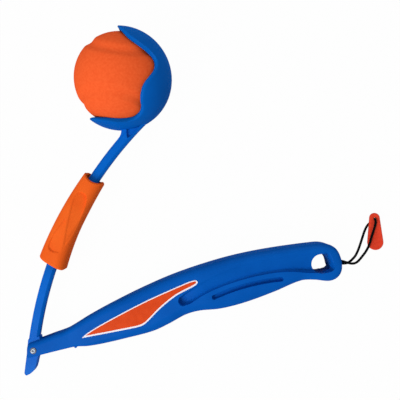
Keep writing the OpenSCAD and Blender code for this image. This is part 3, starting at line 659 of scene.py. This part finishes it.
# %% Handle outlines
NOSE_END = -5
top_edge = [(NOSE_END, 4.7), (6, 5.6), (14, 6.2), (24, 6.8), (30, 8.2), (40, 11), (56, 14.6), (80, 18.9),
            (104, 21.9), (130, 23), (150, 22.7), (172, 20.8), (196, 17.4), (HANDLE_LEN, 13.4)]
low_edge = [(NOSE_END, -4), (20, -5), (28, -5.6), (36, -7.7), (46, -9.1), (64, -10.3), (82, -10.7),
            (94, -8.8), (106, -6.1), (116, -6.1), (130, -8.7), (147, -9.4), (168, -7.9), (188, -5.6),
            (197, -7.6), (206, -11), (HANDLE_LEN, -12)]
FLAT_FROM, FLAT_TO, NOSE_HALF, GRIP_HALF, BUTT_THINNER = 25, 122, 7, 11.8, 0.6
half_thick = [(NOSE_END, NOSE_HALF), (FLAT_FROM, NOSE_HALF), (FLAT_TO, GRIP_HALF), (160, GRIP_HALF),
              (HANDLE_LEN, GRIP_HALF - BUTT_THINNER)]
low_round = [(NOSE_END, 1.2), (25, 1.2), (44, 4), (62, 6), (90, 7.5), (150, 8), (185, 6.5), (HANDLE_LEN, 4.5)]
top_round = [(NOSE_END, 3.2), (25, 3.2), (44, 4), (62, 4.6), (90, 5), (150, 5), (185, 4.6), (HANDLE_LEN, 4)]
# Place along the handle, upper edge, lower edge, share of the depth, and share of that at the upper slope
recess = [(106, 7.6, 1.6, 1, 0.9), (111, 9.6, 1.4, 0.95, 0.75), (120, 12.4, 4.2, 0.7, 0.45),
          (131, 15, 6.2, 0.6, 0.3), (145, 16.8, 7.1, 0.58, 0.28), (158, 16.9, 6.9, 0.58, 0.28),
          (172, 15.8, 5.4, 0.62, 0.28), (184, 14.2, 2.6, 0.72, 0.28), (194, 12.6, -1.2, 0.95, 0.28),
          (206, 9.2, -4.6, 1.35, 0.28)]
FOOT, LOWER_SLOPE, UPPER_SLOPE, SLIT, EDGE_LESS, FOOT_LESS, START_SOFT = 0.25, 1.2, 1.6, 0.02, 1.2, 0.7, 0.3
NO_CUT, NO_FLOOR = -9, 1e9
BUTT_ROUND, BUTT_MID, BUTT_CURVE, BUTT_SIDE_CURVE, RECESS_DEPTH = 13, 2.4, 2.4, 6, 4.2
HANG_BACK, HANG_HEIGHT, HANG_R, HANG_CORNER, HANG_CUT = 14.3, 2.2, 6.5, 25, 0.8
HANG_AT = (HANDLE_LEN - HANG_BACK, HANG_HEIGHT)
HANG_SIDE = HANG_R * math.cos(math.radians(HANG_CORNER))
RECESS_START, RECESS_START_R, RECESS_RISE, RECESS_OUT, RECESS_CORNER = (107.6, 4.4), 3, 209.2, 211.8, 3.5
GROOVE_BOW_R, GROOVE_MID, GROOVE_HALF_LEN, GROOVE_R, GROOVE_SINK = 135, (151.5, 2.7), 23.3, 1.6, 0.9
GROOVE_TILT, GROOVE_SPAN = math.radians(-1.3), (128, 175)


def straight(points, x):
    """Straight lines through chosen [x, y] points."""
    return float(np.interp(x, *np.transpose(points)))


def butt_share(x, power):
    """One along the handle, falling to nothing over the round of the butt."""
    t = np.clip((x - HANDLE_LEN + BUTT_ROUND) / BUTT_ROUND, 0, 1)
    return (1 - t ** power) ** (1 / power)


def grip_edge(outline, x):
    """The grip's upper or lower outline, drawn together at the butt."""
    return float(BUTT_MID + (through(outline, x) - BUTT_MID) * butt_share(x, BUTT_CURVE))


def recess_line(column, x):
    """An edge or a depth of the recess; past the hang hole its two edges close in on round corners."""
    line = through(recess, np.clip(x, recess[0][0], recess[-1][0]), column)
    run = np.clip(x - RECESS_OUT + RECESS_CORNER, 0, RECESS_CORNER)
    corner = RECESS_CORNER - np.sqrt(RECESS_CORNER ** 2 - run ** 2)
    return line + (0, -corner, corner, 0, 0)[column]


def groove_height(x):
    """Middle of the finger groove, an arc of a large circle."""
    run = np.clip(x, *GROOVE_SPAN) - GROOVE_MID[0]
    return GROOVE_MID[1] + run * math.tan(GROOVE_TILT) - GROOVE_BOW_R + np.sqrt(GROOVE_BOW_R ** 2 - run ** 2)


def groove_reach(x):
    """Half the groove's width at a place along the grip: round at its ends, and nothing past them."""
    past = max(0, abs(x - GROOVE_MID[0]) - GROOVE_HALF_LEN)
    return math.sqrt(max(0, GROOVE_R ** 2 - past ** 2))


def hang_radius(angle):
    """The hang hole's reach in a direction: round, with two squarer corners towards the butt."""
    ahead, aside = np.cos(angle), np.abs(np.sin(angle))
    corner = (2 * HANG_SIDE - HANG_CUT) / np.maximum(ahead + aside, 0.1)
    square = np.minimum(HANG_SIDE / np.maximum(ahead, aside), corner)
    return np.where(ahead > 0, np.maximum(HANG_R, square), HANG_R)


def cut_depth(x, y, face, surface):
    """How far the recess and the groove lower the grip's side; past the hang hole the recess rises again."""
    high, low = recess_line(1, x), recess_line(2, x)
    rise = 1 - float(ease((x - RECESS_RISE) / (RECESS_OUT - RECESS_RISE)))
    deep, top_share = RECESS_DEPTH * recess_line(3, x) * rise, recess_line(4, x)
    floor = np.full(len(y), NO_FLOOR)
    if recess[0][0] - HAIR <= x <= RECESS_OUT:
        shape_y = [low - SLIT, low, low + FOOT, low + LOWER_SLOPE, high - UPPER_SLOPE, high, high + SLIT]
        shape_d = [NO_CUT, deep - EDGE_LESS * rise, deep - FOOT_LESS * rise, deep, deep * top_share, 0,
                   NO_CUT]
        floor = face - np.interp(y, shape_y, shape_d, left=NO_CUT, right=NO_CUT)
    away = np.hypot(x - RECESS_START[0], y - RECESS_START[1])
    start_floor = face - RECESS_DEPTH * ease((RECESS_START_R + START_SOFT - away) / (2 * START_SOFT))
    floor = np.minimum(floor, np.where(away < RECESS_START_R + START_SOFT, start_floor, NO_FLOOR))
    off, reach = np.abs(y - groove_height(x)), groove_reach(x)
    groove = face - GROOVE_SINK * GROOVE_R - np.sqrt(np.maximum(reach ** 2 - off ** 2, 0))
    floor = np.minimum(floor, np.where(off < reach, groove, NO_FLOOR))
    return np.maximum(surface - floor, 0)


print("grip is", round(grip_edge(top_edge, 130) - grip_edge(low_edge, 130), 1), "mm deep at its middle")

# %% Handle skin
# Points between one followed edge and the next, from the top of a cross-section to its bottom
row_counts = [16, 3, 10, 3, 2, 1, 5, 1, 5, 5, 1, 14]
ROWS_FROM, ROWS_RUN, ROWS_OPEN, LEAST_REACH, WALL_ROWS = 60, 40, 3, 0.05, 4


def side_profile(x):
    """Front half of one cross-section, from the middle of the top edge to the middle of the low edge."""
    high, low = grip_edge(top_edge, x), grip_edge(low_edge, x)
    half = float(straight(half_thick, x) * butt_share(x, BUTT_SIDE_CURVE))
    most = min(half, (high - low) / 2) - HAIR
    r_top, r_low = min(straight(top_round, x), most), min(straight(low_round, x), most)
    top_flat, low_flat = high - r_top, low + r_low
    top_run, flat_run, low_run = r_top * math.pi / 2, top_flat - low_flat, r_low * math.pi / 2
    total = top_run + flat_run + low_run

    def run_of(y):
        if y > top_flat:
            return r_top * math.acos(min(1, (y - top_flat) / r_top))
        if y < low_flat:
            return top_run + flat_run + r_low * math.asin(min(1, (low_flat - y) / r_low))
        return top_run + top_flat - y

    edge_high, edge_low = float(recess_line(1, x)), float(recess_line(2, x))
    groove_at = float(groove_height(x))
    past = abs(x - GROOVE_MID[0]) - GROOVE_HALF_LEN - GROOVE_R
    reach = max(groove_reach(x), GROOVE_R * float(ease(past / ROWS_OPEN)), LEAST_REACH)
    groove_top, groove_low = groove_at + reach, groove_at - reach
    marks = [edge_high, edge_high - UPPER_SLOPE, edge_low + LOWER_SLOPE, edge_low + FOOT, edge_low,
             edge_low - SLIT, groove_top + SLIT, groove_top - SLIT, groove_at, groove_low + SLIT,
             groove_low - SLIT]
    even = np.linspace(0, 1, len(marks) + 2)
    followed = np.array([0.0] + [run_of(mark) / total for mark in marks] + [1.0])
    runs = even + (followed - even) * float(ease((x - ROWS_FROM) / ROWS_RUN))
    runs = np.maximum.accumulate(np.clip(runs, 0, 1))
    rows = [a + (b - a) * np.arange(n) / n for a, b, n in zip(runs[:-1], runs[1:], row_counts)]
    stops = np.concatenate(rows + [[1.0]]) * total
    y, z = top_flat - (stops - top_run), np.full(len(stops), half)
    bends = ((stops < top_run, stops / r_top, top_flat, r_top, 1),
             (stops > top_run + flat_run, (total - stops) / r_low, low_flat, r_low, -1))
    for bent, angle, middle, radius, way in bends:
        y = np.where(bent, middle + way * radius * np.cos(angle), y)
        z = np.where(bent, half - radius + radius * np.sin(angle), z)
    z = z - cut_depth(x, y, half, z)
    wall = np.arange(WALL_ROWS) / WALL_ROWS
    top_wall = np.column_stack([np.full(WALL_ROWS, high), z[0] * wall])
    low_wall = np.column_stack([np.full(WALL_ROWS, low), z[-1] * (1 - (wall + 1 / WALL_ROWS))])
    return np.concatenate([top_wall, np.column_stack([y, z]), low_wall])


# Stretches of the handle and the step between their sections, finer at the ends of the recess and groove
grip_spans = [(NOSE_END, 23, 2), (23, 36, 0.7), (36, 103, 2), (103, 112, 0.3), (112, 126, 1),
              (126, 131, 0.3), (131, 172, 1.2), (172, 177, 0.3), (177, 194, 1),
              (194, HANDLE_LEN - BUTT_ROUND, 0.35)]
grip_stations = []
for start, end, step in grip_spans:
    grip_stations += list(np.linspace(start, end, int(round((end - start) / step)) + 1)[:-1])
BUTT_END = 0.995
for a in np.linspace(0, math.pi / 2, 56):
    grip_stations.append(HANDLE_LEN - BUTT_ROUND + BUTT_ROUND * BUTT_END * math.sin(a))
grip_rings = []
for x in grip_stations:
    front = side_profile(x)
    back = front[1:-1][::-1] * (1, -1)
    ring = np.concatenate([front, back])
    grip_rings.append(np.column_stack([np.full(len(ring), x), ring]))
GRIP_SMOOTH = 40
grip_finish = moulded_plastic("grip_plastic_blue", paint(2, 82, 172), paint(5, 90, 184))
grip = ring_piece("grip_shell", lay(grip_rings), grip_finish, GRIP_SMOOTH)
print("grip skin:", len(grip_rings), "sections of", len(grip_rings[0]), "points")

# %% [markdown]
# Two things go right through the grip, and a ring of rows can't make a hole: the slot for the arm, with the
# little stop inside it, and the hang hole with the cord's passage. They are cut with the Boolean modifier
# from simple closed shapes. A small nib under the nose, which holds the folded sleeve, is added the same way.

# %% Slot, hang hole and cord passage
slot_outline = [(-30, -30), (20.2, -30), (20.2, -7), (19.6, -4), (17.4, -0.7), (15, 0.6), (11, 2.4),
                (10.6, 2.7), (10.6, 3.6), (13.2, 4.8), (15, 5.8), (15, 30), (-30, 30)]
nose_cut = [(-9, -9), (-7.2, -9), (-1.8, 9), (-9, 9)]
SLOT_HALF, CUT_REACH, POCKET_ROOM, POCKET_START = 3.4, 20, 0.2, HANG_AT[0] + 3
NIB_X, NIB_R, NIB_SINK, NIB_HALF, WELD_REACH = 28.2, 1, 0.2, 6.4, 0.000002


def prism(name, outline, low, high, at=None):
    """A closed straight-sided cutter over an outline, between two heights."""
    rings = [[(x, y, height) for x, y in outline] for height in (low, high)]
    if at is not None:
        rings = [[at(p) for p in ring] for ring in rings]
    return ring_piece(name, lay(rings), grip_finish)


def circle(centre, radius, count):
    """A round outline; the radius may be one value or one for each direction."""
    angles = np.arange(count) * 2 * math.pi / count
    return list(zip(centre[0] + radius * np.cos(angles), centre[1] + radius * np.sin(angles)))


def along_handle(p):
    """Stands a cutter on its side behind the hang hole, so that its height runs along the handle."""
    return (POCKET_START + p[2], CORD_Y + p[0], p[1])


hang_outline = circle(HANG_AT, hang_radius(np.radians(np.arange(0, 360, 2))), 180)
nib_at = (NIB_X, grip_edge(low_edge, NIB_X) + NIB_SINK)
cutters = [prism("slot_cutter", slot_outline, -SLOT_HALF, SLOT_HALF),
           prism("nose_cutter", nose_cut, -2 * NOSE_HALF, 2 * NOSE_HALF),
           prism("hang_cutter", hang_outline, -CUT_REACH, CUT_REACH),
           prism("passage_cutter", circle((0, 0), CORD_D + 2 * CORD_GAP, 32), 0, CUT_REACH, along_handle),
           prism("pocket_cutter", circle((0, 0), KNOT_R + POCKET_ROOM, 32), 0,
                 HANDLE_LEN - KNOT_BACK - POCKET_START, along_handle),
           prism("nib", circle(nib_at, NIB_R, 24), -NIB_HALF, NIB_HALF)]
for cutter in cutters:
    cut = grip.modifiers.new(cutter.name, "BOOLEAN")
    cut.operation = "UNION" if cutter.name == "nib" else "DIFFERENCE"
    cut.solver = "EXACT"
    cut.object = cutter
bpy.context.view_layer.update()
shaped = bpy.data.meshes.new_from_object(grip.evaluated_get(bpy.context.evaluated_depsgraph_get()))
grip.modifiers.clear()
clean = bmesh.new()
clean.from_mesh(shaped)
bmesh.ops.dissolve_degenerate(clean, dist=WELD_REACH, edges=clean.edges[:])
clean.to_mesh(shaped)
clean.free()
grip.data = shaped
soften(shaped, GRIP_SMOOTH)
for cutter in cutters:
    bpy.data.objects.remove(cutter)
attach(grip, "grip")
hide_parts("handle")
print("grip after cutting:", len(shaped.polygons), "faces")

# %% [markdown]
# ## Labels
# A printed film in the shape of a blade is stuck on each flat side: orange-red with a white border that is
# thin above and wider below. The film is a strip of stations along the grip, each with its four heights, so
# the border is a band of faces of its own and stays sharp from any distance.

# %% Label finishes


def printed_film(name, dark, light):
    """Printed film: nearly even in colour, with a smoother coat than the plastics have."""
    material, tree, shader = finish_base(name, roughness=0.34)
    feed(tree, shader, {
        "Base Color": ramp(tree, noise(tree, scale=220, detail=3), dark, light),
        "Coat Roughness": 0.2,
        "Normal": bump(tree, noise(tree, scale=900), strength=0.05, distance=0.00005)})
    return material


film_orange = printed_film("label_print_orange", paint(212, 70, 28), paint(222, 76, 32))
film_white = printed_film("label_print_white", paint(236, 232, 240), paint(246, 243, 248))
print("label prints:", film_orange.name, "and", film_white.name)

# %% Labels
label_outline = closed_line([
    (34.2, -0.8), (41, 2), (55, 5.6), (82, 11.2), (108, 15), (117, 15.9), (120, 15.3), (120.3, 13.6),
    (117, 12), (104, 9.2), (92, 4.2), (82, -1.4), (77.5, -3.5), (72, -3.9), (55, -2.6), (41, -1.4)])
LABEL_T, TOP_BORDER, LOW_BORDER, TIP_BORDER, BORDER_SLANT, LEAST_PRINT = 0.3, 0.6, 0.95, 1.2, 1.12, 0.05
PRINT_ROW = 2
label_slope = (GRIP_HALF - NOSE_HALF) / (FLAT_TO - FLAT_FROM)
far_end = int(np.argmax(label_outline[:, 0]))
label_top = label_outline[:far_end + 1]
label_low = np.concatenate([label_outline[far_end:], label_outline[:1]])[::-1]
tip_x, end_x = label_outline[0, 0], label_outline[far_end, 0]
stations = tip_x + (end_x - tip_x) * (1 - np.cos(np.linspace(0, math.pi, 140))) / 2


def film(name, side):
    """A strip of stations from tip to end: low edge, inner low edge, inner top edge, top edge."""
    vertices, columns, known = [], [], {}

    def place(x, y, height):
        spot = (x, round(float(y), 3), height)
        if spot not in known:
            known[spot] = len(vertices)
            vertices.append((x, y, side * (NOSE_HALF + (x - FLAT_FROM) * label_slope + height)))
        return known[spot]

    for x in stations:
        high, low = np.interp(x, *label_top.T), np.interp(x, *label_low.T)
        inner_high, inner_low = high - TOP_BORDER * BORDER_SLANT, low + LOW_BORDER * BORDER_SLANT
        open_here = inner_high - inner_low > LEAST_PRINT and x < end_x - TIP_BORDER
        middle = (high * LOW_BORDER + low * TOP_BORDER) / (LOW_BORDER + TOP_BORDER)
        first = place(x, inner_low if open_here else middle, LABEL_T)
        second = place(x, inner_high, LABEL_T) if open_here else first
        columns.append((place(x, low, 0), place(x, low, LABEL_T), first, second, place(x, high, LABEL_T),
                        place(x, high, 0)))
    faces, inks = [], []
    for a, b in zip(columns[:-1], columns[1:]):
        for row in range(len(a)):
            after = (row + 1) % len(a)
            corners = list(dict.fromkeys((a[row], b[row], b[after], a[after])))
            if len(corners) > 2:
                faces.append(corners if side > 0 else corners[::-1])
                inks.append(1 if row == PRINT_ROW else 0)
    piece = to_object(name, lay(vertices), faces, [film_white, film_orange], smooth_angle=30)
    piece.data.polygons.foreach_set("material_index", inks)
    return piece


for name, side, node in (("label_film_front", 1, "label_front"), ("label_film_back", -1, "label_back")):
    label = film(name, side)
    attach(label, "grip")
    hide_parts(node)
print("labels: two films with borders of", TOP_BORDER, "and", LOW_BORDER, "mm")

# %% [markdown]
# ## Arm and rivet
# The arm's shape is exact in the CAD model: a bowed bar with chamfered edges, its tail, and the web at the
# neck. It stays as it is and gets a finish and a soft bevel, because no moulding has knife edges. The
# rivet and its washer stay too, in plated metal that shines a little unevenly.

# %% Arm finish
arm_finish = moulded_plastic("arm_plastic_blue", paint(1, 95, 194), paint(2, 105, 209), roughness=0.3,
                             shine=0.09)
FLAT_ANGLE, EDGE_ANGLE = 0.5, 30


def dress(node, material, bevel):
    """Gives a CAD node its finish, and joins its faces so that its edges can be rounded a little."""
    piece = frame["nodes"][node]
    piece.data.materials.clear()
    piece.data.materials.append(material)
    join = piece.modifiers.new("join_faces", "WELD")
    join.merge_threshold = WELD_REACH
    flat = piece.modifiers.new("join_flats", "DECIMATE")
    flat.decimate_type = "DISSOLVE"
    flat.angle_limit = math.radians(FLAT_ANGLE)
    soft = piece.modifiers.new("soft_edge", "BEVEL")
    soft.width = bevel
    soft.segments = 3
    soft.limit_method = "ANGLE"
    soft.angle_limit = math.radians(EDGE_ANGLE)


dress("throwing_arm", arm_finish, bevel=0.0003)
print("arm dressed")

# %% Rivet finish


def plated_metal():
    """Plated metal, a little uneven in colour and shine."""
    material, tree, shader = finish_base("rivet_plated_metal", roughness=0.3)
    feed(tree, shader, {
        "Metallic": 1,
        "Base Color": ramp(tree, noise(tree, scale=900, detail=4), paint(92, 98, 108), paint(138, 143, 152)),
        "Roughness": ramp(tree, noise(tree, scale=2400, detail=3), 0.22, 0.42),
        "Normal": bump(tree, noise(tree, scale=3000), strength=0.1, distance=0.00004)})
    return material


metal_finish = plated_metal()
for node in ("hinge_rivet", "rivet_washer"):
    dress(node, metal_finish, bevel=0.00012)
print("rivet and washer dressed")

# %% [markdown]
# ## Floor and light
# The photograph has a pure white ground and soft, nearly even light that comes from the lower left and the
# front: the left sides of the arm and the sleeve are bright and the right sides fall off. The floor is a
# plain pale sheet that looks white to the camera and keeps a faint shadow. One large lamp stands at the
# lower left, two weak ones fill the front and the top, and the pale surroundings do the rest.

# %% Floor
FLOOR_REACH, FLOOR_DROP = 3, 0.0003
floor_signs = [(-1, -1), (1, -1), (1, 1), (-1, 1)]
floor_corners = [(x * FLOOR_REACH, y * FLOOR_REACH, -FLOOR_DROP) for x, y in floor_signs]
floor = to_object("studio_floor", floor_corners, [(0, 1, 2, 3)], [])


def seen_by_eye(tree):
    """One for rays that show the surroundings to the camera, and nothing for the light's other paths."""
    path = tree.nodes.new("ShaderNodeLightPath")
    seen = path.outputs["Is Camera Ray"]
    for kind in ("Is Glossy Ray", "Is Transmission Ray"):
        seen = maths(tree, "MAXIMUM", seen, path.outputs[kind])
    return seen


floor_finish = bpy.data.materials.new("pale_floor")
floor_finish.use_nodes = True
floor_tree = floor_finish.node_tree
floor_tree.nodes.clear()
matte = add_node(floor_tree, "ShaderNodeBsdfDiffuse", {"Color": (0.6, 0.6, 0.6, 1)})
glow = add_node(floor_tree, "ShaderNodeEmission", {"Strength": 1})
white_share = maths(floor_tree, "MULTIPLY", seen_by_eye(floor_tree), 0.98)
mix_sockets = {0: white_share, 1: matte.outputs[0], 2: glow.outputs[0]}
mix = add_node(floor_tree, "ShaderNodeMixShader", mix_sockets)
add_node(floor_tree, "ShaderNodeOutputMaterial", {"Surface": mix.outputs[0]})
floor.data.materials.append(floor_finish)
print("floor is ready")

# %% Light
world = bpy.data.worlds.new("pale_room")
world.use_nodes = True
bpy.context.scene.world = world
sky_tree = world.node_tree
sky_sockets = {"Value": seen_by_eye(sky_tree), "To Min": 0.43, "To Max": 1.0}
sky_level = add_node(sky_tree, "ShaderNodeMapRange", sky_sockets).outputs["Result"]
feed(sky_tree, sky_tree.nodes["Background"], {"Color": (1, 1, 1, 1), "Strength": sky_level})
MIDDLE = Vector(lay([(110, 75, 0)])[0])


def lamp(name, right, up, out, size, power):
    """A square soft lamp, placed by the picture's right, up and towards the camera, in metres."""
    data = bpy.data.lights.new(name, "AREA")
    data.shape = "SQUARE"
    data.size = size
    data.energy = power
    light = bpy.data.objects.new(name, data)
    spot = MIDDLE + right * picture_right + up * picture_up + out * SIDE
    aim = (MIDDLE - spot).to_track_quat("-Z", "Y").to_matrix().to_4x4()
    light.matrix_world = Matrix.Translation(spot) @ aim
    bpy.context.scene.collection.objects.link(light)


lamp("left_softbox", right=-0.5, up=-0.55, out=0.8, size=0.5, power=7.2)
lamp("front_fill", right=-0.1, up=-0.2, out=1.1, size=0.9, power=0.8)
lamp("top_fill", right=0.1, up=0.9, out=0.45, size=0.6, power=1.6)
bpy.context.scene.view_settings.view_transform = "Standard"
print("three lamps and a pale room")
